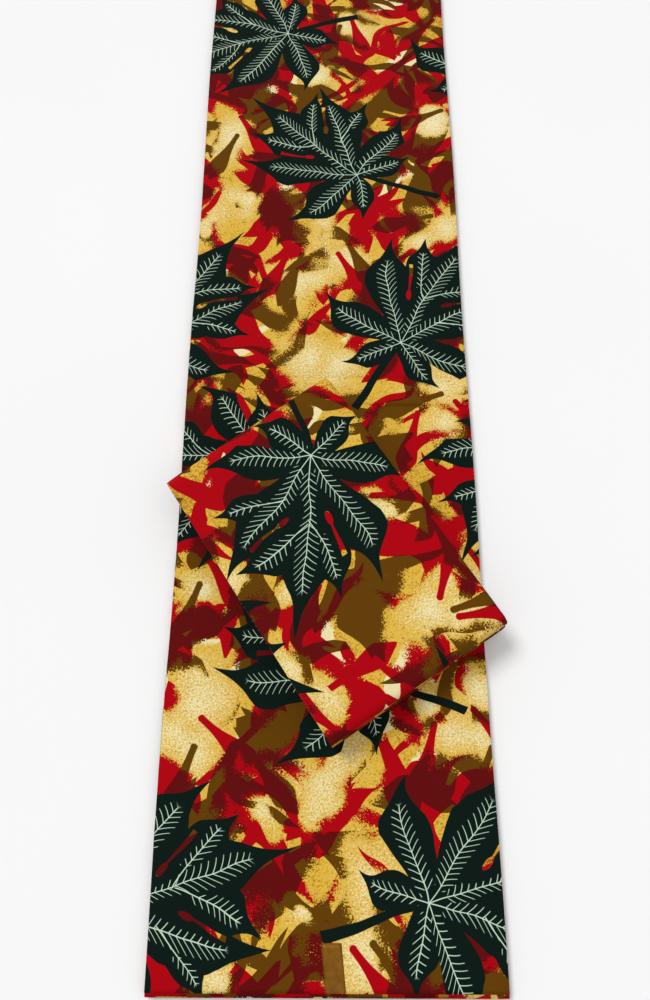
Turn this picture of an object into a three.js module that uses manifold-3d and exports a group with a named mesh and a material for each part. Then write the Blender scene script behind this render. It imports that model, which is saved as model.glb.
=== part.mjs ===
// Wax print cotton, folded and laid flat: a long fan-folded run, selvedge to selvedge,
// and a smaller folded bundle of the same cloth lying askew on it.
// Millimetres, +Z up, +Y along the run, origin under the middle of the whole.
import * as THREE from 'three';
import { mergeVertices } from 'three/addons/utils/BufferGeometryUtils.js';
import Module from 'manifold-3d';

const wasm = await Module();
wasm.setup();

// Cloth: one wall, the air between two pieces, and a double layer with its fold
const wall = 1.2;
const air = 0.3;
const pair = 2 * wall + air;
const fuse = 0.1; // how far one hidden slab sinks into the next

// Run: the loom width is its length, one fan fold its width
const runLength = 1170;
const runWidth = 300;
const runHeight = 9;
const runSoftEdge = 9; // how far in from each long side the stack rounds down
const runEdgeDrop = 0.9;
const runWander = { reach: 0.8, wave: 410 }; // the long sides are not quite straight

// Bundle: the same cloth fan-folded narrower and folded in four
const bundleLength = 296;
const bundleWidth = 194.5;
const bundleHeight = 36;
const endRadius = bundleHeight / 2; // the far end folds round the whole height
const innerEndRadius = bundleHeight / 4; // the near end folds round its upper half
const endSteps = { far: 14, inner: 8 };
const bundleSkew = 11; // how much longer its far side is than its near side
const bundleTurn = 33.6; // degrees from the run's width to the bundle's width
const bundleCorner = { across: 4.3, along: 191.9 }; // from the run's middle and near end
const bundleSoftEdge = 14;
const bundleEdgeDrop = 3;
const returnLength = 45; // how far the inner end fold runs back inside
const selvedgeReach = 2.5; // how far the bottom layers show past the inner end fold

// Sticker over the near selvedge
const stickerWidth = 17;
const stickerLength = 36.5;
const stickerThickness = 0.6;
const stickerMiddle = 8;
const stickerLean = 0.1; // sideways shift for each millimetre along the run

// Creases left by earlier folding: soft troughs across or along the top of each stack
const runCreases = [
  { way: 'across', at: 288, from: -150, to: 150, depth: 0.35, half: 5 },
  { way: 'across', at: 535, from: 0, to: 150, depth: 0.6, half: 5 },
  { way: 'across', at: 567, from: -150, to: 150, depth: 0.4, half: 4 },
  { way: 'across', at: 872, from: -150, to: 90, depth: 0.3, half: 6 },
  { way: 'along', at: -25, from: 88, to: 188, depth: 0.45, half: 5 },
];
const bundleCreases = [
  { way: 'across', at: 148, from: 0, to: 200, depth: 0.35, half: 6 },
  { way: 'along', at: 103, from: 40, to: 300, depth: 0.3, half: 6 },
];

// Hidden layers of the run, from the bottom up: where each slab ends past the top layer
const runSlabs = [
  { high: 1.5, left: -0.6, right: 0.5, near: 4.2, far: 2.4 },
  { high: 3.0, left: 0.4, right: -0.5, near: 2.8, far: 4.0 },
  { high: 4.5, left: -0.3, right: 0.7, near: 3.6, far: 1.2 },
  { high: 6.0, left: 0.6, right: -0.2, near: 2.2, far: 3.1 },
];

// Hidden layers of the bundle, from the bottom up: how many slabs lie below and above the
// inner end fold's return, and how far they keep in from the sides and from the open end
const bundleSlabs = { lower: 6, upper: 5 };
const bundleInsets = [
  { left: 0.6, right: 0.3, start: -1.5 },
  { left: 1.3, right: 1.2, start: 0.8 },
  { left: 0.4, right: 0.6, start: -3.0 },
  { left: 1.1, right: 1.5, start: -0.4 },
  { left: 0.5, right: 0.4, start: -2.2 },
];

const ease = (t) => {
  const c = THREE.MathUtils.clamp(t, 0, 1);
  return c * c * (3 - 2 * c);
};

// How far a stack rounds down near a side
const sideDrop = (inset, softEdge, drop) => drop * (1 - THREE.MathUtils.clamp(inset / softEdge, 0, 1)) ** 2;

// Depth of the creases at a place across and along a stack
const fadeLength = 30;
function creaseDepth(creases, across, along) {
  let depth = 0;
  for (const crease of creases) {
    const [offset, place] = crease.way === 'across' ? [along, across] : [across, along];
    const profile = 1 - ease(Math.abs(offset - crease.at) / crease.half);
    const fade = ease((place - crease.from) / fadeLength + 1) * ease((crease.to - place) / fadeLength + 1);
    depth += crease.depth * profile * fade;
  }
  return depth;
}

// Places along one axis where the surface bends: the plain ones and each crease's three
function stations(plain, creases, way) {
  const places = [...plain];
  for (const crease of creases) {
    if (crease.way === way) {
      places.push(crease.at - crease.half, crease.at, crease.at + crease.half);
    } else {
      places.push(crease.from, crease.to);
    }
  }
  const [low, high] = [Math.min(...plain), Math.max(...plain)];
  const sorted = places.filter((place) => place >= low && place <= high).sort((a, b) => a - b);
  return sorted.filter((place, i) => i === 0 || place - sorted[i - 1] > 0.5);
}

// A cloth wall: a grid of points on its outer side and the same grid on its inner side
function thickSheet(columns, rows, point) {
  const positions = [];
  for (const side of [0, 1]) {
    for (const row of rows) {
      for (const column of columns) {
        positions.push(...point(column, row, side).toArray());
      }
    }
  }
  const wide = columns.length;
  const long = rows.length;
  const inner = wide * long;
  const at = (i, k) => k * wide + i;
  const index = [];
  const quad = (a, b, c, d) => index.push(a, b, c, a, c, d);
  for (let k = 0; k < long - 1; k += 1) {
    for (let i = 0; i < wide - 1; i += 1) {
      const [a, b, c, d] = [at(i, k), at(i + 1, k), at(i + 1, k + 1), at(i, k + 1)];
      quad(a, b, c, d);
      quad(inner + a, inner + d, inner + c, inner + b);
    }
  }
  const edge = (p, q) => quad(p, inner + p, inner + q, q);
  for (let i = 0; i < wide - 1; i += 1) {
    edge(at(i, 0), at(i + 1, 0));
    edge(at(i + 1, long - 1), at(i, long - 1));
  }
  for (let k = 0; k < long - 1; k += 1) {
    edge(at(wide - 1, k), at(wide - 1, k + 1));
    edge(at(0, k + 1), at(0, k));
  }
  const geometry = new THREE.BufferGeometry();
  geometry.setAttribute('position', new THREE.Float32BufferAttribute(positions, 3));
  geometry.setIndex(index);
  return geometry;
}

function toManifold(geometry) {
  const bare = geometry.clone();
  bare.deleteAttribute('normal');
  bare.deleteAttribute('uv');
  const merged = mergeVertices(bare, 1e-4);
  return new wasm.Manifold(new wasm.Mesh({
    numProp: 3,
    vertProperties: new Float32Array(merged.attributes.position.array),
    triVerts: new Uint32Array(merged.index.array),
  }));
}

function join(geometries) {
  const whole = geometries.map(toManifold).reduce((sum, next) => sum.add(next));
  const mesh = whole.getMesh();
  const geometry = new THREE.BufferGeometry();
  geometry.setAttribute('position', new THREE.Float32BufferAttribute(mesh.vertProperties, 3));
  geometry.setIndex([...mesh.triVerts]);
  return geometry;
}

// Section of a double layer folded at one side: each column has its place across and its
// depth under the top, on the outer and on the inner side. It goes from the open side of
// one layer, round the fold at the low end, and back to the open side of the other.
const foldSteps = 5;
function foldedPair(places) {
  const outerRadius = pair / 2;
  const innerRadius = air / 2;
  const columns = [];
  for (const place of [...places].reverse()) {
    columns.push({ outer: [place, pair], inner: [place, pair - wall] });
  }
  for (let i = 1; i < foldSteps; i += 1) {
    const turn = Math.PI * i / foldSteps;
    const onRadius = (radius) => [
      places[0] - radius * Math.sin(turn),
      outerRadius + radius * Math.cos(turn),
    ];
    columns.push({ outer: onRadius(outerRadius), inner: onRadius(innerRadius) });
  }
  for (const place of places) {
    columns.push({ outer: [place, 0], inner: [place, wall] });
  }
  return columns;
}

// Section of a slab of hidden layers, with a rounded nose at each side
const noseAngles = [20, 55, 90];
function slabColumns(places, low, high, left, right) {
  const radius = (high - low) / 2;
  const middle = (high + low) / 2;
  const noses = noseAngles.map((angle) => {
    const turn = THREE.MathUtils.degToRad(angle);
    return { back: radius * (1 - Math.cos(turn)), rise: radius * Math.sin(turn) };
  });
  const between = places.filter((place) => place > left + radius + 1 && place < right - radius - 1);
  return [
    ...noses.map((nose) => ({ across: left + nose.back, outer: middle + nose.rise, inner: middle - nose.rise })),
    ...between.map((place) => ({ across: place, outer: high, inner: low })),
    ...noses.reverse().map((nose) => (
      { across: right - nose.back, outer: middle + nose.rise, inner: middle - nose.rise }
    )),
  ];
}

// The run

const runHalf = runWidth / 2;
const runPlain = [-runHalf + 1.5, -runHalf + 4, -runHalf + runSoftEdge, 60, runHalf - runSoftEdge, runHalf - 4, runHalf];
const runAcross = stations(runPlain, runCreases, 'along').filter((place) => Math.abs(place) <= runHalf);
const runAlong = stations([0, 60, 410, 720, 1010, runLength], runCreases, 'across');

// Every point of the run settles with the stack: nothing at the floor, all of it on top
function settleRun(across, along, up) {
  const round = sideDrop(runHalf - Math.abs(across), runSoftEdge, runEdgeDrop);
  const drop = round + creaseDepth(runCreases, across, along);
  const wander = runWander.reach * Math.sin(2 * Math.PI * along / runWander.wave + Math.sign(across));
  const shift = wander * across / runHalf;
  return new THREE.Vector3(across + shift, along, up - drop * up / runHeight);
}

// The top layer, folded under at its right side
function runTop() {
  const places = runAcross.map((place) => -place).reverse().filter((place) => place > -runHalf + pair / 2);
  const columns = foldedPair([-runHalf + pair / 2, ...places]).map((column) => ({
    0: [-column.outer[0], column.outer[1]],
    1: [-column.inner[0], column.inner[1]],
  })).reverse();
  return thickSheet(columns, runAlong, (column, along, side) => {
    const [across, depth] = column[side];
    return settleRun(across, along, runHeight - depth);
  });
}

// The layers below it, as one body with a nose for every slab
function runLayers() {
  const slabs = runSlabs.map((slab, i) => {
    const last = i === runSlabs.length - 1;
    const low = i === 0 ? 0 : runSlabs[i - 1].high - fuse;
    const places = last ? runAcross : [-60, 60];
    const columns = slabColumns(places, low, slab.high, -runHalf - slab.left, runHalf + slab.right);
    const inside = last ? runAlong.slice(1, -1) : [200, 400, 600, 800, 1000];
    const rows = [-slab.near, ...inside, runLength + slab.far];
    return thickSheet(columns, rows, (column, along, side) => (
      settleRun(column.across, along, side === 0 ? column.outer : column.inner)
    ));
  });
  return join(slabs);
}

// The sticker, over the top layer's near edge and down in front of it
function sticker() {
  const corner = 3;
  const path = [{ away: stickerLength, turn: 0 }, { away: stickerLength / 2, turn: 0 }];
  for (let i = 0; i <= corner; i += 1) {
    path.push({ away: 0, turn: Math.PI / 2 * i / corner });
  }
  path.push({ away: 0, turn: Math.PI / 2, down: pair - air });
  const columns = path.map(({ away, turn, down = 0 }) => (
    [air + stickerThickness, air].map((radius) => ({
      along: away - radius * Math.sin(turn),
      up: runHeight + radius * Math.cos(turn) - down,
    }))
  ));
  const edges = [-stickerWidth / 2, 0, stickerWidth / 2];
  return thickSheet(columns, edges, (column, edge, side) => {
    const { along, up } = column[side];
    return new THREE.Vector3(stickerMiddle + edge - stickerLean * along, along, up);
  });
}

// The bundle, in its own frame: across from its near long side, along from the end where
// its layers show, and up from its underside

const bundleRound = [0.25, 0.5, 0.75, 1].map((share) => share * bundleSoftEdge);
const bundlePlain = [
  pair / 2,
  ...bundleRound,
  ...bundleRound.map((inset) => bundleWidth - inset),
  bundleWidth,
];
const bundleAcross = stations(bundlePlain, bundleCreases, 'along');
const bundleAlong = stations([innerEndRadius, 60, 230, bundleLength - endRadius], bundleCreases, 'across');

function settleBundle(across, along, up) {
  const round = sideDrop(Math.min(across, bundleWidth - across), bundleSoftEdge, bundleEdgeDrop);
  const drop = round + creaseDepth(bundleCreases, across, along);
  const stretch = 1 + bundleSkew / bundleLength * across / bundleWidth;
  return new THREE.Vector3(across, along * stretch, up - drop * up / bundleHeight);
}

// The way its outer layer takes: out of the middle, round the inner end fold, along the
// top, round the far end fold and back along the bottom. Each step is a point of the
// outer face and the direction into the cloth.
function bundleWay() {
  const way = [];
  const arc = (centre, radius, from, to, steps) => {
    for (let i = 0; i <= steps; i += 1) {
      const turn = THREE.MathUtils.degToRad(from + (to - from) * i / steps);
      const [sin, cos] = [Math.sin(turn), Math.cos(turn)];
      way.push({ along: centre.along + radius * sin, up: centre.up + radius * cos, into: [-sin, -cos] });
    }
  };
  way.push({ along: returnLength, up: bundleHeight / 2, into: [0, 1] });
  arc({ along: innerEndRadius, up: bundleHeight - innerEndRadius }, innerEndRadius, -180, 0, endSteps.inner);
  for (const along of bundleAlong.slice(1, -1)) {
    way.push({ along, up: bundleHeight, into: [0, -1] });
  }
  arc({ along: bundleLength - endRadius, up: endRadius }, endRadius, 0, 180, endSteps.far);
  way.push({ along: bundleLength / 2, up: 0, into: [0, 1] });
  way.push({ along: -selvedgeReach, up: 0, into: [0, 1] });
  return way;
}

// The outer layer: a double layer folded along the near long side
function bundleTop() {
  const columns = foldedPair(bundleAcross);
  return thickSheet(columns, bundleWay(), (column, step, side) => {
    const [across, depth] = side === 0 ? column.outer : column.inner;
    const [alongInto, upInto] = step.into;
    return settleBundle(across, step.along + depth * alongInto, step.up + depth * upInto);
  });
}

// How far a slab may reach into a round end fold of that inner radius
function roundReach(low, high, centre, radius) {
  const off = Math.max(Math.abs(high - centre), Math.abs(low - centre));
  return Math.sqrt(Math.max(radius * radius - off * off, 0));
}

// The layers inside, as one body that steps back where the end folds round: slabs below
// the return, one behind its end, and slabs above it inside the inner end fold
function bundleLayers() {
  const inner = pair + air;
  const groups = [
    { low: inner, high: endRadius - air, count: bundleSlabs.lower },
    { low: endRadius - air, high: endRadius + inner, count: 1, start: returnLength + air },
    { low: endRadius + inner, high: bundleHeight - inner, count: bundleSlabs.upper, round: true },
  ];
  const slabs = [];
  for (const group of groups) {
    const thickness = (group.high - group.low) / group.count;
    for (let i = 0; i < group.count; i += 1) {
      const inset = bundleInsets[slabs.length % bundleInsets.length];
      const low = group.low + i * thickness - (slabs.length > 0 ? fuse : 0);
      const high = group.low + (i + 1) * thickness;
      const nearReach = roundReach(low, high, bundleHeight - innerEndRadius, innerEndRadius - inner);
      const start = group.round ? innerEndRadius - nearReach : group.start ?? inset.start;
      const end = bundleLength - endRadius + roundReach(low, high, endRadius, endRadius - inner);
      const columns = slabColumns(bundleAcross, low, high, inset.left, bundleWidth - inset.right);
      const rows = [start, ...bundleAlong.filter((along) => along > start + 1 && along < end - 1), end];
      slabs.push(thickSheet(columns, rows, (column, along, side) => (
        settleBundle(column.across, along, side === 0 ? column.outer : column.inner)
      )));
    }
  }
  return join(slabs);
}

function piece(name, geometry, color, roughness, metalness) {
  const mesh = new THREE.Mesh(geometry, new THREE.MeshStandardMaterial({ color, roughness, metalness }));
  mesh.name = name;
  return mesh;
}

const run = new THREE.Group();
run.add(
  piece('run_top', runTop(), 0x9c1a18, 0.75, 0),
  piece('run_layers', runLayers(), 0x7a4a12, 0.8, 0),
  piece('sticker', sticker(), 0x7d5a2c, 0.4, 0.3),
);

const bundle = new THREE.Group();
bundle.add(
  piece('bundle_top', bundleTop(), 0xc9a03c, 0.75, 0),
  piece('bundle_layers', bundleLayers(), 0x5a1210, 0.8, 0),
);
bundle.position.set(bundleCorner.across, bundleCorner.along, runHeight + air);
bundle.rotation.z = THREE.MathUtils.degToRad(bundleTurn);

const group = new THREE.Group();
group.add(run, bundle);

// The origin goes under the middle of the whole
group.updateMatrixWorld(true);
const box = new THREE.Box3().setFromObject(group, true);
const middle = box.getCenter(new THREE.Vector3());
group.position.set(-middle.x, -middle.y, -box.min.z);

export default group;
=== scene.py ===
import math
import random

import bpy
import numpy as np
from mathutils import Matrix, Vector


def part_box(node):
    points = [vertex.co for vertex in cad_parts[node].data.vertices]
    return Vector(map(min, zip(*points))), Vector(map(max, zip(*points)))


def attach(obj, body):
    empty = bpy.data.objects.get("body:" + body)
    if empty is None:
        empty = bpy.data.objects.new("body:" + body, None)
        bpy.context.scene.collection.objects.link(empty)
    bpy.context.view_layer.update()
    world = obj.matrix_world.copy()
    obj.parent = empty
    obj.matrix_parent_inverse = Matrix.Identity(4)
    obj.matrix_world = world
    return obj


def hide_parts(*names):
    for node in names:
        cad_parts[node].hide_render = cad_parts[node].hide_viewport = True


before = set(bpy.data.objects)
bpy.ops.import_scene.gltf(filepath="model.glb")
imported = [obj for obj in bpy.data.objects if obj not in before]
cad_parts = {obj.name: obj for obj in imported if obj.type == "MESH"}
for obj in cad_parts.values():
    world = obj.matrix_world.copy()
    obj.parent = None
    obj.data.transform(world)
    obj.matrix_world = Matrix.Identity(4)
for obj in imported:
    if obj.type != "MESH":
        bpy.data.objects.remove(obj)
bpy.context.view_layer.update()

# the middle of the run's near edge on the floor, and how high the bundle lies
runLow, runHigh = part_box("run_top")
nearEdge = Vector(((runLow.x + runHigh.x) / 2, runLow.y, 0))
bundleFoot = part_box("bundle_top")[0].z

view = {
    "above": 0.6884,      # over the top of the run
    "along": 0.1913,      # from the near edge
    "aside": -0.0014,
    "pitch": 71.0,        # degrees below the horizon
    "turn": 0.2,
    "lens": 25.85,        # millimetres, like the sensor
    "sensor": 36,
    "nearest": 0.01,
}


def placeCamera():
    lens = bpy.data.cameras.new("camera")
    lens.lens = view["lens"]
    lens.sensor_width = view["sensor"]
    lens.clip_start = view["nearest"]
    holder = bpy.data.objects.new("camera", lens)
    bpy.context.scene.collection.objects.link(holder)
    holder.location = nearEdge + Vector((view["aside"], view["along"], runHigh.z + view["above"]))
    holder.rotation_euler = (math.radians(90 - view["pitch"]), 0, math.radians(view["turn"]))
    bpy.context.scene.camera = holder


# wide soft lamps far off: the way each shines from, its apparent size in degrees, its strength
lamps = [
    {"name": "keyLight", "from": (-0.8, 0.75, 1.5), "wide": 22, "strength": 1.58},
    {"name": "fillLight", "from": (1.0, -0.5, 1.6), "wide": 60, "strength": 0.35},
]
sky = {"color": (1, 1, 1, 1), "strength": 0.5}


def placeLights():
    for lamp in lamps:
        light = bpy.data.lights.new(lamp["name"], "SUN")
        light.energy = lamp["strength"]
        light.angle = math.radians(lamp["wide"])
        holder = bpy.data.objects.new(lamp["name"], light)
        bpy.context.scene.collection.objects.link(holder)
        holder.location = lamp["from"]
        holder.rotation_euler = (-holder.location).to_track_quat("-Z", "Y").to_euler()
    world = bpy.data.worlds.new("studio")
    bpy.context.scene.world = world
    world.use_nodes = True
    backdrop = world.node_tree.nodes["Background"]
    backdrop.inputs["Color"].default_value = sky["color"]
    backdrop.inputs["Strength"].default_value = sky["strength"]
    bpy.context.scene.view_settings.view_transform = "Standard"


class Wire:
    # one socket's value; sums on it add their nodes
    def __init__(self, paint, socket):
        self.paint = paint
        self.socket = socket

    def math(self, operation, *values):
        return self.paint.node("ShaderNodeMath", {"operation": operation}, list(values))

    def __add__(self, other):
        return self.math("ADD", self, other)

    def __radd__(self, other):
        return self.math("ADD", other, self)

    def __sub__(self, other):
        return self.math("SUBTRACT", self, other)

    def __rsub__(self, other):
        return self.math("SUBTRACT", other, self)

    def __mul__(self, other):
        return self.math("MULTIPLY", self, other)

    def __rmul__(self, other):
        return self.math("MULTIPLY", other, self)

    def __truediv__(self, other):
        return self.math("DIVIDE", self, other)

    def __lt__(self, other):
        return self.math("LESS_THAN", self, other)

    def __gt__(self, other):
        return self.math("GREATER_THAN", self, other)

    def __abs__(self):
        return self.math("ABSOLUTE", self)

    def atMost(self, other):
        return self.math("MINIMUM", self, other)

    def atLeast(self, other):
        return self.math("MAXIMUM", self, other)


class Paint:
    # a material and the nodes in it
    def __init__(self, name):
        self.material = bpy.data.materials.new(name)
        self.material.use_nodes = True
        self.tree = self.material.node_tree
        self.shader = self.tree.nodes["Principled BSDF"]

    def node(self, kind, settings=None, values=None, out=0):
        made = self.tree.nodes.new(kind)
        for name, setting in (settings or {}).items():
            if name == "points":
                curve = made.mapping.curves[0]      # it starts with two points of its own
                for i, (x, y) in enumerate(setting):
                    if i < 2:
                        curve.points[i].location = (x, y)
                    else:
                        curve.points.new(x, y)
                made.mapping.update()
            else:
                setattr(made, name, setting)
        pairs = values.items() if isinstance(values, dict) else enumerate(values or [])
        for key, value in pairs:
            socket = made.inputs[key]
            if isinstance(value, Wire):
                self.tree.links.new(value.socket, socket)
            elif value is not None:
                socket.default_value = value
        return Wire(self, made.outputs[out])

    def vector(self, operation, *values):
        return self.node("ShaderNodeVectorMath", {"operation": operation}, list(values))

    def length(self, value):
        return self.node("ShaderNodeVectorMath", {"operation": "LENGTH"}, [value], "Value")

    def dot(self, value, other):
        return self.node("ShaderNodeVectorMath", {"operation": "DOT_PRODUCT"}, [value, other], "Value")

    def split(self, value):
        parts = self.node("ShaderNodeSeparateXYZ", {}, [value]).socket.node
        return [Wire(self, part) for part in parts.outputs]

    def join(self, *values):
        return self.node("ShaderNodeCombineXYZ", {}, list(values))

    def noise(self, place, scale, detail=0, out="Fac", rough=0.5):
        values = {"Vector": place, "Scale": scale, "Detail": detail, "Roughness": rough}
        return self.node("ShaderNodeTexNoise", {}, values, out)

    # a Mix node has sockets of its own for each kind of data, so they go by number
    def mixVector(self, factor, one, other):
        return self.node("ShaderNodeMix", {"data_type": "VECTOR"}, {0: factor, 4: one, 5: other}, 1)

    def mixColor(self, factor, one, other):
        one, other = [(*c, 1) if isinstance(c, tuple) else c for c in (one, other)]
        return self.node("ShaderNodeMix", {"data_type": "RGBA"}, {0: factor, 6: one, 7: other}, 2)

    def rise(self, value, low, high):
        return self.node("ShaderNodeMapRange", {"interpolation_type": "SMOOTHSTEP"}, [value, low, high, 0, 1])

    def curve(self, value, points):
        return self.node("ShaderNodeFloatCurve", {"points": points}, {"Value": value})

    def turned(self, value, turn):
        values = {"Vector": value, "Angle": turn}
        return self.node("ShaderNodeVectorRotate", {"rotation_type": "Z_AXIS"}, values)

    def feed(self, **sockets):
        names = {"color": "Base Color", "roughness": "Roughness", "metallic": "Metallic", "normal": "Normal",
                 "specular": "Specular IOR Level"}
        for name, value in sockets.items():
            socket = self.shader.inputs[names[name]]
            if isinstance(value, Wire):
                self.tree.links.new(value.socket, socket)
            else:
                socket.default_value = value


def dye(red, green, blue):
    # a colour as the eye reads it, 0 to 255, made linear
    shares = [level / 255 for level in (red, green, blue)]
    return tuple(s / 12.92 if s < 0.0405 else ((s + 0.055) / 1.055) ** 2.4 for s in shares)


dyes = {
    "yellow": dye(226, 184, 68),
    "mustard": dye(170, 112, 24),
    "cream": dye(242, 232, 182),
    "red": dye(174, 2, 16),
    "maroon": dye(98, 12, 12),
    "brown": dye(98, 62, 4),
    "green": dye(10, 26, 21),
    "mint": dye(204, 230, 202),
}

printSize = {
    "repeat": 1.0,        # metres across the cut before the print comes again
    "far": 9,             # metres, past any place along it
    "leaf": 0.175,        # main lobe, from the middle to its tip
}

# leaves in three sets, so that close neighbours may touch: place across, place along, and
# the way the main lobe points in degrees, a full turn more where the stem leans
leafSets = [
    [
        (0.098, 1.076, -161.0), (0.229, 0.612, 59.0), (-0.040, 0.057, 18.0), (0.600, 0.757, -94.0),
        (0.828, 0.451, 140.0), (0.450, 0.160, -60.0),
    ],
    [
        (-0.049, 0.616, 55.0), (0.350, 0.492, -88.0), (0.339, 1.001, 420.0), (0.180, 0.251, 502.0),
        (0.582, 0.373, 410.5), (0.840, 0.840, 160.0), (0.720, 0.110, 60.0), (0.870, 0.230, 160.0),
    ],
    [
        (0.084, 0.476, -150.0), (0.236, 0.065, 16.0), (0.183, 0.843, 497.0), (0.850, 0.660, 100.0),
        (0.430, 0.720, -120.0), (0.500, 1.000, 120.0), (0.780, 1.020, -30.0),
    ],
]
leaning = math.radians(189)     # a turn past this is one of those with a full turn more

# a leaf's lobes: degrees from the main one, length and half width as shares of its length
lobes = [
    (0, 1.00, 0.150), (-29, 0.84, 0.146), (33, 0.79, 0.154), (-79, 0.62, 0.130),
    (82, 0.60, 0.134), (-113, 0.41, 0.094), (141, 0.38, 0.094),
]
# side lobes: which lobe they leave, counted from 0, how far along it, then as above, and their bow
sideLobes = [
    (0, 0.37, -47, 0.48, 0.104, 0.2), (0, 0.35, 29, 0.48, 0.108, 0.3), (1, 0.33, -71, 0.42, 0.082, 0.1),
]
# a lobe's half width along it, the two ends first
lobeShape = [
    (0, 0.45), (1, 0), (0.15, 0.68), (0.33, 0.87), (0.42, 0.95), (0.51, 1), (0.61, 0.93),
    (0.7, 0.66), (0.78, 0.36), (0.86, 0.17), (0.93, 0.08),
]
# slits beside the main lobe, each with a drop at its foot: where that is, and the slit's way
slits = [(0.335, 0.102, 33), (0.388, -0.138, -41)]

# lengths as shares of the leaf's
leafForm = {
    "bow": 0.55,          # of a lobe, by the sine of its turn
    "bowAlways": 0.1,
    "sideStart": 0.1,     # a side lobe reaches this far back past its root
    "sideRib": 0.0024,
    "sideRibEnd": 0.5,
    "taper": 0.05,
    "dropRadius": 0.016,
    "dropLength": 0.4,    # how far it is drawn out, 1 for round
    "slitHalf": 0.003,
    "slitFlare": 0.045,
    "slitLength": 0.22,
    "stemHalf": 0.018,
    "stemFlare": 0.012,
    "stemLean": 0.46,
    "stemBend": 0.06,
    "stemLength": 0.54,
    "stemRoot": 0.05,
}

veinForm = {
    "gap": 0.0062,        # metres between branches
    "width": 0.00062,
    "rib": 0.62,          # half widths, in widths
    "branch": 0.46,
    "slope": 1.05,        # how branches lean, curl in and stand apart on the two sides
    "curl": 4,
    "stagger": 0.25,
    "steep": 0.7,
    "thin": 0.012,
    "room": 0.42,         # the share of the lobe's half width that they take
    "roomTaper": 0.3,
    "start": 0.1,
    "startTaper": 0.1,
    "end": 0.74,
    "endTaper": 0.05,
}


def nearestTurned(paint, place, spots, wide=None):
    # the step from the closest spot, turned its way, and minus its turn, which rides along
    # as a tiny third coordinate; wide is half the width that the spots come again in
    tiny = 1e-4
    far = printSize["far"]
    step, least = None, None
    for across, along, turn in spots:
        away = paint.vector("SUBTRACT", place, (across, along, -turn * tiny))
        if wide:
            away = paint.vector("WRAP", away, (wide, far, far), (-wide, -far, -far))
        distance = paint.length(away)
        if step is None:
            step, least = away, distance
        else:
            step = paint.mixVector(distance < least, step, away)
            least = least.atMost(distance)
    turn = paint.split(step)[2] * (-1 / tiny)
    flat = paint.vector("MULTIPLY", step, (1, 1, 0))
    return paint.turned(flat, turn), turn


def measured(paint, spot, root, degrees):
    # how far along and how far aside of a line from root the spot is
    turn = math.radians(degrees)
    way = np.array([math.cos(turn), math.sin(turn)])
    aside = np.array([-way[1], way[0]])
    along = paint.dot(spot, (*way, 0)) - float(root @ way)
    return along, paint.dot(spot, (*aside, 0)) - float(root @ aside)


def mainLobes(paint, spot):
    # the lobe that a spot's direction picks: how far inside it the spot is, and its place there
    x, y, _ = paint.split(spot)
    turn = y.math("ARCTAN2", y, x)
    reach = paint.length(spot)
    pick, least = None, None
    for degrees, length, half in lobes:
        radians = math.radians(degrees)
        gap = abs(turn - radians)
        if pick is None:
            pick, least = (radians, length, half), gap
        else:
            pick = paint.mixVector(gap < least, pick, (radians, length, half))
            least = least.atMost(gap)
    axis, length, half = paint.split(pick)
    off = turn - axis
    along = reach * off.math("COSINE", off)
    share = along / length
    bow = axis.math("SINE", axis) * leafForm["bow"] + leafForm["bowAlways"]
    side = reach * off.math("SINE", off) - share * share * (1 - share) * length * bow
    width = paint.curve(share, lobeShape) * half
    return (width - abs(side)).atMost(1 - share), paint.join(along, side, share)


def leaf(paint, place, leaves):
    # how far inside a leaf's outline a place is, and where its veins run
    form = leafForm
    spots = [(across, along, math.radians(turn)) for across, along, turn in leaves]
    turned, turn = nearestTurned(paint, place, spots, printSize["repeat"] / 2)
    spot = paint.vector("SCALE", turned, None, None, 1 / printSize["leaf"])
    inside, vein = mainLobes(paint, spot)
    sideRibs = None
    for parent, rootShare, degrees, length, half, sideBow in sideLobes:
        parentDegrees, parentLength, _ = lobes[parent]
        parentTurn = math.radians(parentDegrees)
        root = np.array([math.cos(parentTurn), math.sin(parentTurn)]) * parentLength * rootShare
        along, off = measured(paint, spot, root, degrees)
        share = along / length
        off = off - share * (1 - share) * (length * sideBow)
        width = paint.curve(share, lobeShape) * half
        sideInside = (width - abs(off)).atMost(share + form["sideStart"]).atMost(1 - share)
        vein = paint.mixVector(sideInside > inside, vein, paint.join(along, off, share))
        inside = inside.atLeast(sideInside)
        rib = (form["sideRib"] - abs(off)).atMost(share * form["taper"])
        rib = rib.atMost((form["sideRibEnd"] - share) * form["taper"])
        sideRibs = rib if sideRibs is None else sideRibs.atLeast(rib)
    for footX, footY, degrees in slits:
        along, off = measured(paint, spot, np.array([footX, footY]), degrees)
        drop = paint.length(paint.join(along * form["dropLength"], off, 0)) - form["dropRadius"]
        slit = abs(off) - form["slitHalf"] - along * form["slitFlare"]
        slit = slit.atLeast(0 - along).atLeast(along - form["slitLength"])
        inside = inside.atMost(drop).atMost(slit)
    # the stem runs back from the leaf's middle
    x, y, _ = paint.split(spot)
    leans = turn < -leaning
    stemSide = abs(y - x * leans * form["stemLean"] - x * x * form["stemBend"])
    stem = form["stemHalf"] - x * form["stemFlare"] - stemSide
    stem = stem.atMost(x + form["stemLength"]).atMost(form["stemRoot"] - x)
    return inside.atLeast(stem), inside, vein, sideRibs


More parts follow.
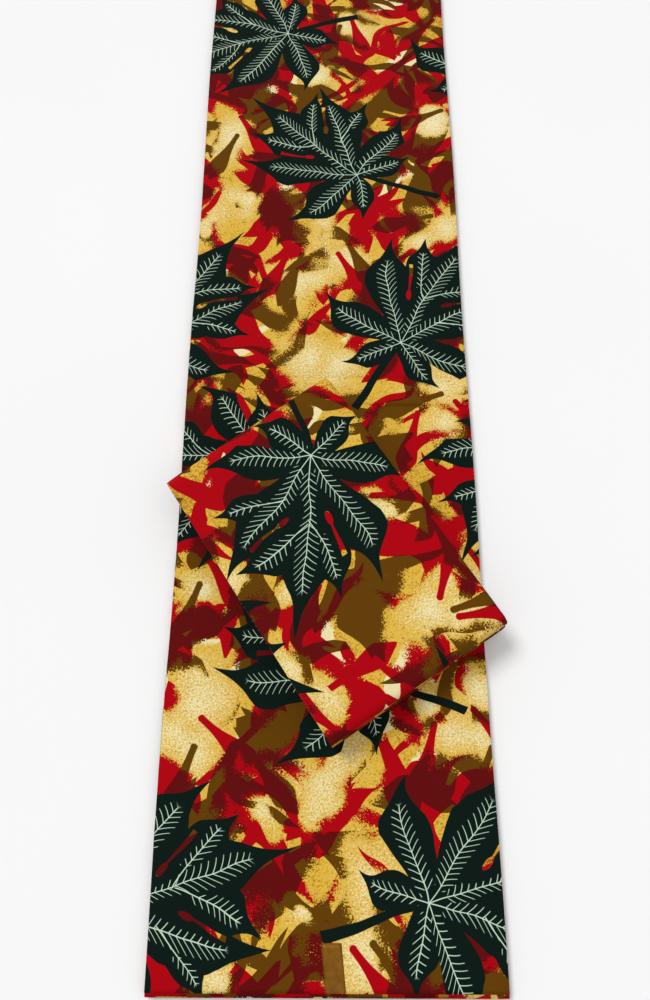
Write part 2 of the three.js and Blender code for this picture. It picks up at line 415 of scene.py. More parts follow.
def veins(paint, inside, vein, sideRibs):
    # a rib down each lobe with branches on both sides; above nothing on a line
    form = veinForm
    along, side, share = paint.split(vein)
    gap = form["gap"] / printSize["leaf"]
    line = form["width"] / printSize["leaf"]
    off = abs(side)
    room = (inside + off) * form["room"]
    end = (form["end"] - share) * form["endTaper"]
    rib = (line * form["rib"] - off).atMost(end)
    beat = (along - off * form["slope"] + off * off * form["curl"] + side * form["stagger"]) / gap
    part = beat.math("FRACT", beat) - 0.5
    branch = line * form["branch"] - off * form["thin"] - abs(part) * (gap * form["steep"])
    branch = branch.atMost((room - off) * form["roomTaper"]).atMost(end)
    branch = branch.atMost((share - form["start"]) * form["startTaper"])
    return rib.atLeast(branch).atLeast(sideRibs).atMost(inside)


# pale clouds of bare cloth between the paint: place across, place along, radius
clouds = [
    (0.030, 1.095, 0.018), (0.140, 0.990, 0.022), (0.275, 0.920, 0.036), (0.030, 0.895, 0.032),
    (0.050, 0.795, 0.020), (0.145, 0.770, 0.026), (0.125, 0.690, 0.034), (0.175, 0.710, 0.024),
    (0.285, 0.770, 0.028), (0.255, 0.750, 0.020), (0.010, 0.770, 0.020), (0.120, 0.595, 0.032),
    (0.160, 0.580, 0.030), (0.280, 0.560, 0.032), (0.270, 0.510, 0.024), (0.015, 0.200, 0.032),
    (0.035, 0.235, 0.026), (0.085, 0.140, 0.020), (0.150, 0.175, 0.032), (0.185, 0.080, 0.026),
    (0.125, 0.055, 0.012), (0.275, 0.195, 0.028), (0.175, 0.025, 0.028), (0.055, 0.010, 0.028),
    (0.025, 0.335, 0.020), (0.290, 0.350, 0.024), (0.300, 0.240, 0.020), (0.245, 0.235, 0.012),
    (0.575, 0.560, 0.026), (0.545, 0.540, 0.020), (0.700, 0.565, 0.024), (0.550, 0.450, 0.018),
    (0.720, 0.435, 0.022), (0.710, 0.525, 0.016), (0.670, 0.470, 0.014), (0.540, 0.370, 0.012),
    (0.420, 0.310, 0.030), (0.400, 0.560, 0.034), (0.830, 0.200, 0.032), (0.900, 0.480, 0.034),
    (0.920, 0.720, 0.030), (0.700, 0.930, 0.034), (0.400, 0.880, 0.030), (0.620, 0.210, 0.028),
    (0.190, 1.085, 0.024), (0.535, 0.585, 0.026),
]
cloudForm = {"blend": 0.9, "reach": 1.35}       # in radii

# clubs, a round head with a neck that flares into the paint: place of the head across and
# along, the way they run in degrees, length
redClubs = [
    (0.110, 0.740, -115, 0.07), (0.155, 0.740, -60, 0.08), (0.245, 0.525, -105, 0.05),
    (0.290, 0.535, -50, 0.04), (0.025, 0.225, -40, 0.08), (0.170, 0.035, -50, 0.06),
    (0.250, 0.215, -105, 0.06), (0.290, 0.220, -50, 0.04), (0.040, 0.935, -60, 0.06),
    (0.550, 0.440, 150, 0.04), (0.685, 0.560, 180, 0.04), (0.555, 0.545, -140, 0.04),
    (0.550, 0.575, 155, 0.04), (0.705, 0.590, -70, 0.04), (0.180, 1.100, -75, 0.05),
    (0.290, 1.100, -130, 0.06), (0.265, 0.935, -115, 0.06), (0.030, 0.370, -55, 0.05),
    (0.295, 0.370, -55, 0.04),
]
brownClubs = [
    (0.125, 0.740, -110, 0.08), (0.170, 0.750, -65, 0.06), (0.275, 0.550, -160, 0.06),
    (0.265, 0.780, -165, 0.04), (0.030, 0.190, -110, 0.05), (0.190, 0.035, -50, 0.05),
    (0.300, 0.190, -115, 0.05), (0.075, 0.195, -50, 0.06), (0.555, 0.565, 165, 0.05),
    (0.685, 0.425, 75, 0.04), (0.165, 1.085, -105, 0.05), (0.040, 0.905, -115, 0.06),
    (0.285, 0.940, -155, 0.04), (0.305, 0.895, -110, 0.06), (0.025, 0.340, -110, 0.05),
]
clubForm = {
    "half": 0.026,        # metres from its middle back to its head
    "length": 0.072,      # over which the neck flares
    "head": 0.0033,       # radius
    "neck": 0.0031,       # half width
    "flare": 0.075,
    "tip": 1.06,
    "tipTaper": 0.04,
    "startTaper": 0.06,
}


def cloudiness(paint, place):
    # above nothing inside a cloud, about one at its middle
    least = None
    for across, along, radius in clouds:
        share = 1 / radius
        step = paint.vector("MULTIPLY_ADD", place, (share, share, 0), (-across * share, -along * share, 0))
        distance = paint.length(step)
        least = distance if least is None else least.math("SMOOTH_MIN", least, distance, cloudForm["blend"])
    return cloudForm["reach"] - least


def nearClub(paint, place, clubs):
    # how far inside the closest club's outline a place is, in metres
    form = clubForm
    spots = []
    for across, along, degrees, length in clubs:
        turn = math.radians(degrees)
        spots.append((across + length / 2 * math.cos(turn), along + length / 2 * math.sin(turn), turn))
    turned, _ = nearestTurned(paint, place, spots)
    along, side, _ = paint.split(turned)
    head = form["head"] - paint.length(paint.vector("ADD", turned, (form["half"], 0, 0)))
    run = (along + form["half"]) / form["length"]
    flare = form["neck"] + run * run * run * (1 - run) * form["flare"]
    flare = flare.atMost((form["tip"] - run) * form["tipTaper"])
    return (flare - abs(side)).atMost(run * form["startTaper"]).atLeast(head)


# pointed patches of paint, each kind drawn out one way: its turn in degrees, where its pattern
# starts, the size of a patch in metres, and the share of the patches that are painted
shardKinds = {
    "redLong": {"turn": 28, "start": (3.1, 0.4, 0), "size": (0.0155, 0.060), "share": 0.46},
    "redShort": {"turn": -52, "start": (1.7, 2.2, 0), "size": (0.0130, 0.056), "share": 0.33},
    "brownLong": {"turn": -30, "start": (0.7, 7.9, 0), "size": (0.0165, 0.056), "share": 0.4},
    "brownShort": {"turn": 68, "start": (4.4, 5.3, 0), "size": (0.0135, 0.050), "share": 0.25},
}

groundForm = {
    "swayScale": 13, "sway": 0.06,                      # how far the flow wanders, in metres
    "grainScale": 560, "grainDetail": 3, "grainRough": 0.7,
    "billowScale": 20, "billowStart": (5.2, 1.3, 0), "billow": 1.1,
    "cloud": 0.5, "cloudLift": 0.02,
    "stippleByCloud": 0.3, "stippleFrom": 0.15, "stippleSoft": 0.1,
    "fleckByCloud": 0.07, "fleckFrom": 0.045, "fleckTo": 0.13, "fleck": 0.8,
    "sprayScale": 24, "sprayFrom": 0.5, "sprayTo": 0.6, "spray": 0.026,
    "shore": 0.05, "shoreByCloud": 0.35, "shoreBySpeck": 0.2, "shoreByPatch": 0.2, "shoreSoft": 0.006,
    "paleShare": 0.09, "paleBySpeck": 0.3, "paleFrom": 0.02, "paleSoft": 0.03, "pale": 0.85,
    "clubSoft": 0.0003, "clubGrain": 0.003,
}


def shards(paint, flow, kind):
    # three numbers for each patch
    turned = paint.node("ShaderNodeMapping", {"vector_type": "TEXTURE"}, {
        "Vector": flow, "Location": kind["start"], "Rotation": (0, 0, math.radians(kind["turn"])),
        "Scale": (*kind["size"], 1)})
    settings = {"voronoi_dimensions": "2D", "feature": "F1"}
    return paint.split(paint.node("ShaderNodeTexVoronoi", settings, {"Vector": turned, "Scale": 1}, "Color"))


def ground(paint, place):
    # paint on yellow cloth: pointed patches in red and brown that end in spray round the pale clouds
    form = groundForm
    far = printSize["far"]
    place = paint.vector("WRAP", place, (printSize["repeat"], far, far), (0, -far, -far))
    half = (0.5, 0.5, 0.5)
    sway = paint.vector("SUBTRACT", paint.noise(place, form["swayScale"], 1, "Color"), half)
    flow = paint.vector("MULTIPLY_ADD", sway, (form["sway"], form["sway"], 0), place)
    grain = paint.noise(place, form["grainScale"], form["grainDetail"], "Color", form["grainRough"])
    grain = paint.vector("SUBTRACT", grain, half)
    speck, fleck, _ = paint.split(grain)
    billow = paint.noise(paint.vector("ADD", place, form["billowStart"]), form["billowScale"], 2) - 0.5
    cloud = cloudiness(paint, flow) * form["cloud"] + billow * form["billow"] + form["cloudLift"]

    # bare cloth, stippled with cream, most in the clouds, and flecked with mustard
    soft = form["stippleSoft"]
    bare = paint.rise(speck + cloud * form["stippleByCloud"] - form["stippleFrom"], -soft, soft)
    base = paint.mixColor(bare, dyes["yellow"], dyes["cream"])
    flecks = paint.rise(fleck - cloud * form["fleckByCloud"], form["fleckFrom"], form["fleckTo"])
    base = paint.mixColor(flecks * form["fleck"], base, dyes["mustard"])

    # paint: crisp where patches meet, sprayed towards the clouds and here and there inside
    spray = paint.rise(paint.noise(place, form["sprayScale"], 0), form["sprayFrom"], form["sprayTo"])
    spray = spray * form["spray"]
    jitter = paint.vector("MULTIPLY_ADD", grain, paint.join(spray, spray, 0), flow)
    shore = form["shore"] - cloud * form["shoreByCloud"] + speck * form["shoreBySpeck"]
    layers, patchNumbers = {}, {}
    for name, kind in shardKinds.items():
        patch, reach, patchNumbers[name] = shards(paint, jitter, kind)
        edge = shore + (reach - 0.5) * form["shoreByPatch"]
        layers[name] = (patch < kind["share"]) * paint.rise(edge, -form["shoreSoft"], form["shoreSoft"])

    # here and there between the paint a patch is left pale
    soft = form["paleSoft"]
    pale = paint.rise(speck * form["paleBySpeck"] - cloud + form["paleFrom"], -soft, soft)
    pale = (patchNumbers["redShort"] < form["paleShare"]) * pale
    base = paint.mixColor(pale * form["pale"], base, dyes["cream"])

    soft = form["clubSoft"]
    red = layers["redLong"].atLeast(layers["redShort"])
    red = red.atLeast(paint.rise(nearClub(paint, place, redClubs), -soft, soft))
    brown = layers["brownLong"].atLeast(layers["brownShort"])
    rough = speck * form["clubGrain"]
    brown = brown.atLeast(paint.rise(nearClub(paint, place, brownClubs) + rough, -soft, soft))
    color = paint.mixColor(brown, base, dyes["brown"])
    over = paint.mixColor(brown, dyes["red"], dyes["maroon"])
    return paint.mixColor(red, color, over)


cottonFinish = {
    "thread": 0.0008,                 # metres from thread to thread
    "threadShare": 0.25,
    "slubScale": 300,
    "relief": 0.25, "reliefDepth": 0.0004,
    "roughness": 0.66, "roughnessBySlub": 0.1,
    "specular": 0.04,
    "wobbleScale": 16, "wobble": 0.016,     # how far leaf outlines stray, in metres
    "leafEdge": 0.001, "veinEdge": 0.0012,
}


def printedCotton():
    finish = cottonFinish
    paint = Paint("printedCotton")
    place = paint.node("ShaderNodeUVMap", {"uv_map": "cloth"})
    color = ground(paint, place)
    wobble = paint.vector("SUBTRACT", paint.noise(place, finish["wobbleScale"], 1, "Color"), (0.5, 0.5, 0.5))
    wobble = paint.vector("MULTIPLY", wobble, (finish["wobble"], finish["wobble"], 0))
    bent = paint.vector("ADD", place, wobble)
    leafEdge, veinEdge = finish["leafEdge"], finish["veinEdge"]
    for leaves in leafSets:
        body, inside, vein, sideRibs = leaf(paint, bent, leaves)
        lines = veins(paint, inside, vein, sideRibs)
        color = paint.mixColor(paint.rise(body, -leafEdge, leafEdge), color, dyes["green"])
        color = paint.mixColor(paint.rise(lines, -veinEdge, veinEdge), color, dyes["mint"])
    across, along, _ = paint.split(place)
    beat = 2 * math.pi / finish["thread"]
    thread = across.math("SINE", across * beat) + along.math("SINE", along * beat)
    slub = paint.noise(place, finish["slubScale"], 2)
    height = thread * finish["threadShare"] + slub
    relief = {"Strength": finish["relief"], "Distance": finish["reliefDepth"], "Height": height}
    bump = paint.node("ShaderNodeBump", {}, relief)
    paint.feed(color=color, roughness=finish["roughness"] + slub * finish["roughnessBySlub"], normal=bump,
               specular=finish["specular"])
    return paint.material


bronzeFinish = {
    "dark": dye(122, 80, 16), "light": dye(142, 96, 24),
    "mottleScale": 160, "mottleFrom": 0.3, "mottleTo": 0.75,
    "relief": 0.1, "reliefDepth": 0.0003,
    "roughness": 0.42, "roughnessByMottle": 0.12,
    "metallic": 0.5, "metallicByMottle": 0.1,
    "specular": 0.2,
}


def bronzePaper():
    finish = bronzeFinish
    paint = Paint("bronzePaper")
    place = paint.node("ShaderNodeTexCoord", {}, {}, "Object")
    mottle = paint.noise(place, finish["mottleScale"], 3)
    tone = paint.rise(mottle, finish["mottleFrom"], finish["mottleTo"])
    relief = {"Strength": finish["relief"], "Distance": finish["reliefDepth"], "Height": mottle}
    paint.feed(color=paint.mixColor(tone, finish["dark"], finish["light"]),
               roughness=finish["roughness"] + mottle * finish["roughnessByMottle"],
               metallic=finish["metallic"] + mottle * finish["metallicByMottle"],
               normal=paint.node("ShaderNodeBump", {}, relief), specular=finish["specular"])
    return paint.material


floor = {
    "reach": 12,
    "dark": dye(247, 247, 247), "light": dye(251, 251, 251),
    "toneScale": 3,
    "roughness": 0.9,
}


def paleFloor():
    paint = Paint("paleFloor")
    place = paint.node("ShaderNodeTexCoord", {}, {}, "Object")
    tone = paint.noise(place, floor["toneScale"], 1)
    paint.feed(color=paint.mixColor(tone, floor["dark"], floor["light"]), roughness=floor["roughness"])
    return paint.material


def makeFloor(material):
    mesh = bpy.data.meshes.new("paleFloor")
    reach = floor["reach"]
    corners = [(-reach, -reach, 0), (reach, -reach, 0), (reach, reach, 0), (-reach, reach, 0)]
    mesh.from_pydata(corners, [], [(0, 1, 2, 3)])
    mesh.materials.append(material)
    piece = bpy.data.objects.new("paleFloor", mesh)
    bpy.context.scene.collection.objects.link(piece)


def ease(t):
    c = np.clip(t, 0, 1)
    return c * c * (3 - 2 * c)


creaseForm = {
    "fade": 0.03,         # metres over which a crease runs out
    "level": 0.8,         # its depth, which changes along it slowly and fast
    "slow": 0.2, "slowRate": 90, "slowShift": 200,
    "fast": 0.15, "fastRate": 230,
}


def creaseDepth(creases, across, along):
    form = creaseForm
    depth = 0
    for crease in creases:
        offset, place = (along, across) if crease["way"] == "across" else (across, along)
        side = np.abs(offset - crease["at"]) / crease["half"]
        start, end = crease["span"]
        fade = ease((place - start) / form["fade"] + 1) * ease((end - place) / form["fade"] + 1)
        slow = form["slow"] * np.sin(place * form["slowRate"] + crease["at"] * form["slowShift"])
        uneven = form["level"] + slow + form["fast"] * np.sin(place * form["fastRate"])
        depth = depth + crease["depth"] * (1 - ease(side)) * fade * uneven
    return depth


def settled(stack, room, across, along, up):
    # the height of a point once the stack has settled: lower by its sides, room being how far
    # in from them the point is, with creases and a slight ripple, less towards its foot
    inset = np.clip(room / stack["softEdge"], 0, 1)
    drop = stack["edgeDrop"] * (1 - inset) ** 2 + creaseDepth(stack["creases"], across, along)
    ripple = stack["ripple"]
    lift = ripple["height"] * np.sin(along * ripple["along"] + across * ripple["slant"])
    lift = lift * np.sin(across * ripple["across"] + ripple["start"])
    return up - (drop - lift) * up / stack["height"]


# a fold strays by uneven waves, and each layer by an amount of its own
strayForm = {
    "waves": 3, "sizes": (0.4, 1), "lengths": (0.5, 1.6), "starts": (0, 6.3),
    "own": 0.8, "swing": 0.45,
}


def waves(count, amount, length, seed):
    # slow uneven shifts along a fold, a curve for each layer
    form = strayForm
    pick = random.Random(seed)

    def wave():
        size = pick.uniform(*form["sizes"])
        return size, length * pick.uniform(*form["lengths"]), pick.uniform(*form["starts"])
    rows = [[wave() for _ in range(form["waves"])] for _ in range(count)]
    own = [pick.uniform(-1, 1) for _ in range(count)]

    def at(layer, place):
        total = own[layer] * form["own"]
        for size, reach, start in rows[layer]:
            total = total + form["swing"] * size * np.sin(2 * math.pi * place / reach + start)
        return amount * total
    return at


def crowded(places, creases, way):
    # places along one axis, closer where a crease bends the cloth
    closest = 0.0012
    for crease in creases:
        if crease["way"] == way:
            places = places + [crease["at"] + crease["half"] * s for s in (-1, -0.5, 0, 0.5, 1)]
    kept = []
    for place in sorted(places):
        if not kept or place - kept[-1] > closest:
            kept.append(place)
    return np.array(kept)


def fanFold(layers, columns, trims):
    # the way across a stack of layers joined at alternate sides: for each point its place
    # between the sides, how far past a side it bulges, its height in layers and its layer;
    # trims holds the stretch that is kept of a layer that is cut
    foldSteps = 4
    path = []
    for i, layer in enumerate(layers):
        number = layer["number"]
        first, last = trims.get(number, (0, 1))
        for share in columns if layer["way"] > 0 else columns[::-1]:
            if first <= share <= last:
                path.append((share, 0, number, number))
        if i + 1 < len(layers):
            side = 1 if layer["way"] > 0 else 0
            step = layers[i + 1]["number"] - number
            for k in range(1, foldSteps):
                turn = math.pi * k / foldSteps
                path.append((side, math.sin(turn), number + step * (1 - math.cos(turn)) / 2, number))
    return path


def makeCloth(name, middle, uv, half, visible=None):
    # a thin two-sided sheet on a grid of middle points; visible shares out the baked map:
    # weights of the columns and rows, and the rows where it starts a new strip
    rows, columns, _ = middle.shape
    alongWay = np.gradient(middle, axis=0)
    acrossWay = np.gradient(middle, axis=1)
    normal = np.cross(acrossWay, alongWay)
    normal /= np.linalg.norm(normal, axis=2, keepdims=True)
    sides = [middle + normal * half, middle - normal * half]
    points = np.concatenate([side.reshape(-1, 3) for side in sides])
    back = rows * columns
    at = np.arange(back).reshape(rows, columns)
    a, b, c, d = at[:-1, :-1], at[:-1, 1:], at[1:, 1:], at[1:, :-1]
    front = np.stack([a, b, c, d], -1).reshape(-1, 4)
    faces = [front, front[:, ::-1] + back]
    for edge in (at[0, ::-1], at[-1, :], at[:, 0], at[::-1, -1]):
        p, q = edge[:-1], edge[1:]
        faces.append(np.stack([p, q, q + back, p + back], -1))
    quads = np.concatenate(faces)
    mesh = bpy.data.meshes.new(name)
    mesh.from_pydata(points.tolist(), [], quads.tolist())
    mesh.polygons.foreach_set("use_smooth", np.arange(len(quads)) < 2 * len(front))
    cloth = mesh.uv_layers.new(name="cloth")
    flat = np.tile(uv.reshape(-1, 2), (2, 1))
    cloth.data.foreach_set("uv", flat[quads.ravel()].astype(np.float32).ravel())
    if visible:
        bake = mesh.uv_layers.new(name="OFBake")
        places = bakePlaces(rows, columns, quads, len(front), visible)
        bake.data.foreach_set("uv", places.astype(np.float32).ravel())
    mesh.uv_layers.active = cloth
    piece = bpy.data.objects.new(name, mesh)
    bpy.context.scene.collection.objects.link(piece)
    print(name, "faces", len(quads))
    return piece


# shares of the baked map: the seen side low on it in strips, the hidden side over it at the
# left, and the four rims over it at the right, in rows one over another
bakeMap = {
    "stripEdge": 0.003, "seenStart": 0.003, "seen": 0.894,
    "upper": 0.905, "hidden": 0.09, "hiddenLeft": 0.002, "hiddenWide": 0.496,
    "rimLeft": 0.505, "rimWide": 0.49, "rimRow": 0.023, "rimHigh": 0.018,
}


def bakePlaces(rows, columns, quads, frontCount, visible):
    # where each corner of each face lies on the baked map
    part = bakeMap
    columnEnds = np.concatenate([[0], np.cumsum(visible["columns"])])
    rowEnds = np.concatenate([[0], np.cumsum(visible["rows"])])
    columnEnds, rowEnds = columnEnds / columnEnds[-1], rowEnds / rowEnds[-1]
    starts = np.array([0, *visible["strips"], rows - 1])
    back = rows * columns
    row = (quads % back) // columns
    column = (quads % back) % columns
    strip = np.searchsorted(starts[1:-1], row.min(axis=1), side="right")
    low = rowEnds[starts[strip]][:, None]
    high = rowEnds[starts[strip + 1]][:, None]
    edge = part["stripEdge"]
    u = (strip[:, None] + edge + columnEnds[column] * (1 - 2 * edge)) / (len(starts) - 1)
    v = part["seenStart"] + (rowEnds[row] - low) / (high - low) * part["seen"]
    number = np.arange(len(quads))
    hidden = (number >= frontCount) & (number < 2 * frontCount)
    u[hidden] = (part["hiddenLeft"] + columnEnds[column] * part["hiddenWide"])[hidden]
    v[hidden] = (part["upper"] + rowEnds[row] * part["hidden"])[hidden]
    rims = number >= 2 * frontCount
    rim = np.zeros(len(quads), int)
    rim[rims] = np.repeat(np.arange(4), [columns - 1, columns - 1, rows - 1, rows - 1])
    span = np.where((rim < 2)[:, None], column / (columns - 1), row / (rows - 1))
    u[rims] = (part["rimLeft"] + span * part["rimWide"])[rims]
    v[rims] = (part["upper"] + rim[:, None] * part["rimRow"] + (quads >= back) * part["rimHigh"])[rims]
    return np.stack([u, v], -1).reshape(-1, 2)


# the run, fan-folded across the loom width; creases have the way they run, where, from and
# to where, their depth and half width
run = {
    "length": 1.170,
    "width": 0.300,
    "height": 0.009,
    "layers": 18,
    "cloth": 0.0003,
    "softEdge": 0.009,
    "edgeDrop": 0.0009,
    "wander": (0.0008, 0.410),          # how far its sides stray, and over what length
    "ripple": {"height": 0.00012, "along": 31, "slant": 17, "across": 40, "start": 1},
    "turnUnder": 0.025,
    "nearSelvedges": (0.0022, 0.0041),  # how far the hidden layers stand out, least and most
    "farSelvedges": (0.0012, 0.004),
    "stray": 0.0007,                    # of the folds below the top one, and over what length
    "strayLength": 0.3,
    "seeds": (11, 12, 5),               # left folds, right folds, selvedges
    "trimGap": 0.001,                   # a share of the width
    "leastColumn": 0.004,               # on the baked map
    "columns": [-0.15, -0.148, -0.145, -0.141, -0.1, 0.02, 0.06, 0.1, 0.141, 0.145, 0.148, 0.15],
    "rows": [0, 0.004, 0.03, 0.07, 0.12, 0.17, 0.22, 0.26, 0.32, 0.37, 0.42, 0.47, 0.51, 0.60, 0.65, 0.70,
             0.75, 0.80, 0.84, 0.90, 0.95, 1.0, 1.05, 1.1, 1.14, 1.17],
    "creases": [
        {"way": "across", "at": 0.288, "span": (-0.15, 0.15), "depth": 0.0003, "half": 0.004},
        {"way": "across", "at": 0.534, "span": (0.05, 0.14), "depth": 0.0018, "half": 0.0025},
        {"way": "across", "at": 0.53775, "span": (0.05, 0.09), "depth": -0.0015, "half": 0.0025},
        {"way": "across", "at": 0.567, "span": (-0.15, 0.15), "depth": 0.0008, "half": 0.0026},
        {"way": "across", "at": 0.872, "span": (-0.15, 0.09), "depth": 0.0003, "half": 0.005},
        {"way": "along", "at": -0.025, "span": (0.088, 0.188), "depth": 0.0004, "half": 0.004},
    ],
}


def settleRun(across, along, up):
    half = run["width"] / 2
    height = settled(run, half - np.abs(across), across, along, up)
    reach, wave = run["wander"]
    shift = reach * np.sin(2 * math.pi * along / wave + np.sign(across)) * across / half
    points = np.stack(np.broadcast_arrays(across + shift, along, height), -1)
    return points + np.array([nearEdge.x, nearEdge.y, 0])


def runStack(numbers, trims):
    count, width = run["layers"], run["width"]
    pitch = (run["height"] - run["cloth"]) / (count - 1)
    half = width / 2
    places = crowded(run["columns"], run["creases"], "along")
    rows = crowded(run["rows"], run["creases"], "across")
    # odd layers go left to right, even ones back
    layers = [{"number": n, "way": 1 if n % 2 else -1} for n in numbers]
    path = fanFold(layers, list((places + half) / width), trims)
    leftSeed, rightSeed, selvedgeSeed = run["seeds"]
    leftEdge = waves(count, run["stray"], run["strayLength"], leftSeed)
    rightEdge = waves(count, run["stray"], run["strayLength"], rightSeed)
    pick = random.Random(selvedgeSeed)
    near = [pick.uniform(*run["nearSelvedges"]) for _ in range(count)]
    far = [pick.uniform(*run["farSelvedges"]) for _ in range(count)]
    middle = np.zeros((len(rows), len(path), 3))
    uv = np.zeros((len(rows), len(path), 2))
    top = count - 1
    for c, (share, bulge, level, number) in enumerate(path):
        along = rows.copy()
        low, high = -half, half
        if number != top:
            along[0] -= near[number]
            along[-1] += far[number]
            low = low + leftEdge(number // 2, along)
            high = high + rightEdge((number + 1) // 2, along)
        out = bulge * pitch / 2 * (1 if share > 0.5 else -1)
        across = low + (high - low) * share + out
        middle[:, c] = settleRun(across, along, run["cloth"] / 2 + level * pitch)
        # the print runs on from the top layer's start, or past its end below it
        turned = share if number % 2 else 1 - share
        uv[:, c, 0] = share * width if number == top else (top - number + 1 + turned) * width
        uv[:, c, 1] = along
    return middle, uv, path, rows


def makeRun(material):
    top = run["layers"] - 1
    under = 1 - run["turnUnder"] / run["width"]
    middle, uv, path, rows = runStack([top, top - 1], {top - 1: (under, 1)})
    columns = [max(abs(b[0] - a[0]), run["leastColumn"]) for a, b in zip(path, path[1:])]
    strips = [int(np.searchsorted(rows, run["length"] / 2))]
    visible = {"columns": columns, "rows": np.diff(rows), "strips": strips}
    runTop = makeCloth("runTop", middle, uv, run["cloth"] / 2, visible)
    middle, uv, *_ = runStack(list(range(top - 1, -1, -1)), {top - 1: (0, under - run["trimGap"])})
    runLayers = makeCloth("runLayers", middle, uv, run["cloth"] / 2)
    for piece, node in ((runTop, "run_top"), (runLayers, "run_layers")):
        piece.data.materials.append(material)
        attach(piece, "root")
        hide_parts(node)


# the bundle on it: fan-folded narrower, then in four
bundle = {
    "length": 0.296,
    "width": 0.1945,
    "height": 0.036,
    "layers": 28,
    "cloth": 0.00026,
    "loomWidth": 1.17,
    "skew": 0.011,                      # more length at its far side
    "turn": 33.6,
    "corner": (0.0043, 0.1919),         # from the middle of the run's near edge
    "softEdge": 0.014,
    "edgeDrop": 0.003,
    "ripple": {"height": 0.00025, "along": 37, "slant": 23, "across": 45, "start": 0.6},
    "turnUnder": 0.020,
    "sideGap": 0.0002,
    "cutStart": 0.52,                   # where its outer layer begins across the print
    "outerEnds": (0.002, 0.004),        # how far in the outer layer's two selvedges lie
    "firstEnds": (0.0006, 0.0040),      # and the other layers', least and most
    "lastEnds": (0.0004, 0.0038),
    "stray": (0.0008, 0.0009),          # of the open side's folds and the other's
    "strayLength": 0.25,
    "seeds": (21, 22, 9),               # those folds, and the selvedges
    "trimGap": 0.002,
    "leastColumn": 0.01,
    "columns": [0, 0.003, 0.006, 0.010, 0.014, 0.04, 0.07, 0.15, 0.1805, 0.1845, 0.1885, 0.1915, 0.1945],
    "bakeStrips": (0.296, 0.63),        # where the baked map starts anew, along the cloth
    "creases": [
        {"way": "across", "at": 0.148, "span": (0.0, 0.2), "depth": 0.00035, "half": 0.006},
        {"way": "along", "at": 0.103, "span": (0.04, 0.3), "depth": 0.0003, "half": 0.006},
    ],
}


def settleBundle(across, along, up):
    width = bundle["width"]
    height = settled(bundle, np.minimum(across, width - across), across, along, up)
    turn = math.radians(bundle["turn"])
    stretch = 1 + bundle["skew"] / bundle["length"] * across / width
    sin, cos = math.sin(turn), math.cos(turn)
    x, y, z = np.broadcast_arrays(across, along * stretch, height)
    place = np.stack([x * cos - y * sin, x * sin + y * cos, z], -1)
    aside, ahead = bundle["corner"]
    return place + np.array([nearEdge.x + aside, nearEdge.y + ahead, bundleFoot])


# along the folded stack from its outer selvedge: where points stand on each straight stretch,
# and the steps round each bend
bundleSteps = {
    "bottom": [-0.0025, 0.003, 0.03, 0.08, 0.148, 0.21, 0.26],
    "top": [0.26, 0.235, 0.2, 0.17, 0.154, 0.151, 0.148, 0.145, 0.142, 0.12, 0.09, 0.06, 0.03],
    "innerOut": [0.05, 0.148, 0.235],
    "innerBack": [0.235, 0.148, 0.05, 0.012, -0.002],
    "bigBend": 14, "smallBend": 10, "innerBend": 6,
}


def bundleWay():
    # a row of points along the stack's outer face, each with the direction into the cloth
    steps = bundleSteps
    height = bundle["height"]
    big, small = height / 2, height / 4
    way = []

    def straight(places, up, into):
        for along in places:
            way.append((along, up, 0, into))

    def arc(along, up, radius, start, end, count, inward=-1):
        for k in range(1, count):
            turn = math.radians(start + (end - start) * k / count)
            sin, cos = math.sin(turn), math.cos(turn)
            way.append((along + radius * sin, up + radius * cos, inward * sin, inward * cos))
    bend = bundle["length"] - big
    straight([*steps["bottom"], bend], 0, 1)
    arc(bend, big, big, 180, 0, steps["bigBend"])
    straight([bend, *steps["top"], small], height, -1)
    arc(small, height - small, small, 0, -180, steps["smallBend"])
    straight([small, *steps["innerOut"], bend], big, 1)
    arc(bend, big, 0, 0, 180, steps["innerBend"], 1)
    straight([bend, *steps["innerBack"]], big, -1)
    return way


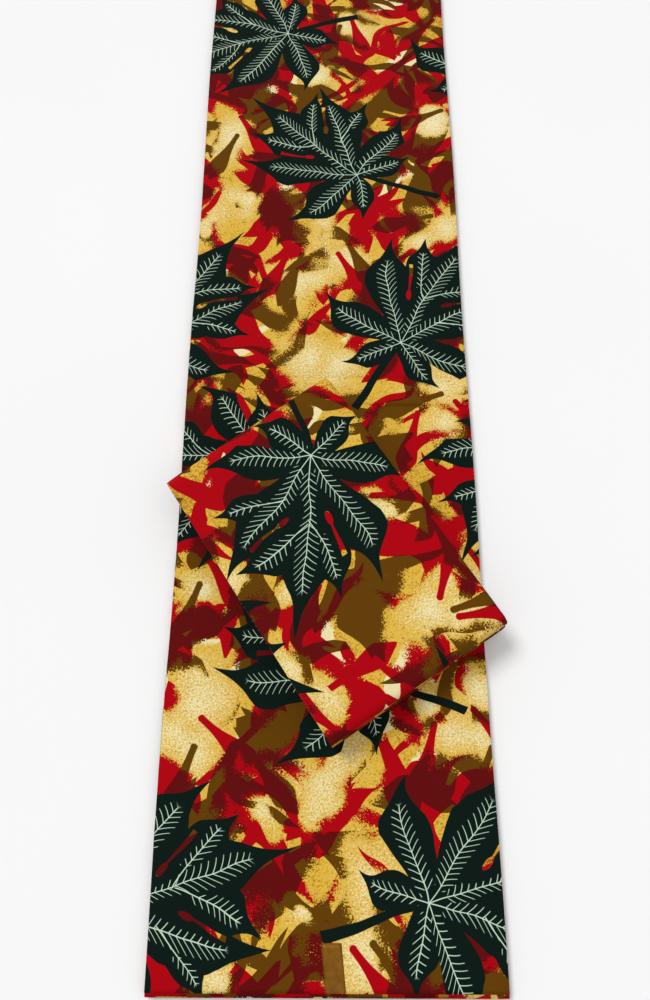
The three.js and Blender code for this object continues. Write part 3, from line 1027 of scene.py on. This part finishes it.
def bundleStack(numbers, trims):
    count, width, sideGap = bundle["layers"], bundle["width"], bundle["sideGap"]
    pitch = bundle["height"] / 4 / count
    way = bundleWay()
    mid = bundle["height"] / 8          # halfway through a quarter of the stack
    track = np.array([(along + mid * intoAlong, up + mid * intoUp) for along, up, intoAlong, intoUp in way])
    gone = np.concatenate([[0], np.cumsum(np.linalg.norm(np.diff(track, axis=0), axis=1))])
    places = crowded(bundle["columns"], bundle["creases"], "along")
    # even layers go from the open side to the folded one, odd ones back
    layers = [{"number": n, "way": -1 if n % 2 == 0 else 1} for n in numbers]
    path = fanFold(layers, list(places / width), trims)
    nearStray, farStray = bundle["stray"]
    nearSeed, farSeed, selvedgeSeed = bundle["seeds"]
    nearSide = waves(count, nearStray, bundle["strayLength"], nearSeed)
    farSide = waves(count, farStray, bundle["strayLength"], farSeed)
    pick = random.Random(selvedgeSeed)
    firstOuter, lastOuter = bundle["outerEnds"]
    firstEnd = [firstOuter if n == 0 else pick.uniform(*bundle["firstEnds"]) for n in range(count)]
    lastEnd = [lastOuter if n == 0 else pick.uniform(*bundle["lastEnds"]) for n in range(count)]
    middle = np.zeros((len(way), len(path), 3))
    uv = np.zeros((len(way), len(path), 2))
    startAlong, startUp, intoAlong, intoUp = [np.array(v) for v in zip(*way)]
    for c, (share, bulge, level, number) in enumerate(path):
        depth = (level + 0.5) * pitch
        along = startAlong + depth * intoAlong
        along[0] += firstEnd[number]
        along[-1] += lastEnd[number]
        low, high = sideGap, width - sideGap
        if number:
            low = low + np.abs(nearSide((number + 1) // 2, gone))
            high = high - np.abs(farSide(number // 2, gone))
        out = bulge * pitch / 2 * (1 if share > 0.5 else -1)
        across = low + (high - low) * share + out
        middle[:, c] = settleBundle(across, along, startUp + depth * intoUp)
        turned = share if number % 2 else 1 - share
        uv[:, c, 0] = bundle["cutStart"] + (number + turned) * width
        uv[:, c, 1] = gone
    return middle, uv, path, gone


def makeBundle(material):
    width, count, loomWidth = bundle["width"], bundle["layers"], bundle["loomWidth"]
    under = bundle["turnUnder"] / width
    middle, uv, path, gone = bundleStack([0, 1], {1: (0, under)})
    columns = [max(abs(b[0] - a[0]), bundle["leastColumn"]) for a, b in zip(path, path[1:])]
    strips = [int(np.searchsorted(gone, place)) for place in bundle["bakeStrips"]]
    visible = {"columns": columns, "rows": np.diff(gone), "strips": strips}
    bundleTop = makeCloth("bundleTop", middle, uv, bundle["cloth"] / 2, visible)
    middle, uv, *_ = bundleStack(list(range(1, count)), {1: (under + bundle["trimGap"], 1)})
    bundleLayers = makeCloth("bundleLayers", middle, uv, bundle["cloth"] / 2)
    for piece, node in ((bundleTop, "bundle_top"), (bundleLayers, "bundle_layers")):
        piece.data.materials.append(material)
        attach(piece, "root")
        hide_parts(node)


# the blank sticker over the near edge
sticker = {
    "width": 0.017,
    "length": 0.0365,
    "paper": 0.0001,
    "middle": 0.008,
    "lean": 0.1,
    "lift": 0.00018,                    # off the cloth
    "bend": 0.001,                      # where it bends over the edge
    "bendRadius": 0.0011,
    "bendLift": 0.0001,
    "bendStart": 0.3,
    "hangs": 0.0027,
    "front": 0.0003,
    "ripple": {"height": 0.00006, "across": 700, "along": 130},
    "steps": {"across": 7, "along": 10, "bend": 5},
}


def makeSticker(material):
    half = sticker["width"] / 2
    steps, wave = sticker["steps"], sticker["ripple"]
    across = np.linspace(-half, half, steps["across"])
    bend, radius, top = sticker["bend"], sticker["bendRadius"], run["height"]
    path = [(along, top + sticker["lift"]) for along in np.linspace(sticker["length"], bend, steps["along"])]
    path += [(bend - radius * math.sin(t), top - bend + radius * math.cos(t) + sticker["bendLift"])
             for t in np.linspace(sticker["bendStart"], math.pi / 2, steps["bend"])]
    path.append((-sticker["front"], top - sticker["hangs"]))
    middle = np.zeros((len(path), len(across), 3))
    uv = np.zeros((len(path), len(across), 2))
    for r, (along, up) in enumerate(path):
        x = sticker["middle"] + across - sticker["lean"] * along
        ripple = wave["height"] * np.sin(across * wave["across"] + along * wave["along"])
        flat = settleRun(x, np.full_like(x, max(along, 0)), np.full_like(x, up) + ripple)
        flat[:, 1] += min(along, 0)
        middle[r] = flat
        uv[r] = np.stack([across, np.full_like(across, along)], -1)
    piece = makeCloth("blankSticker", middle, uv, sticker["paper"] / 2)
    piece.data.materials.append(material)
    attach(piece, "root")
    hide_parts("sticker")


placeCamera()
placeLights()
makeFloor(paleFloor())
print("stage ready")
cotton = printedCotton()
print("print mixed, nodes:", len(cotton.node_tree.nodes))
makeRun(cotton)
print("run laid")
makeBundle(cotton)
print("bundle laid")
makeSticker(bronzePaper())
print("sticker on")
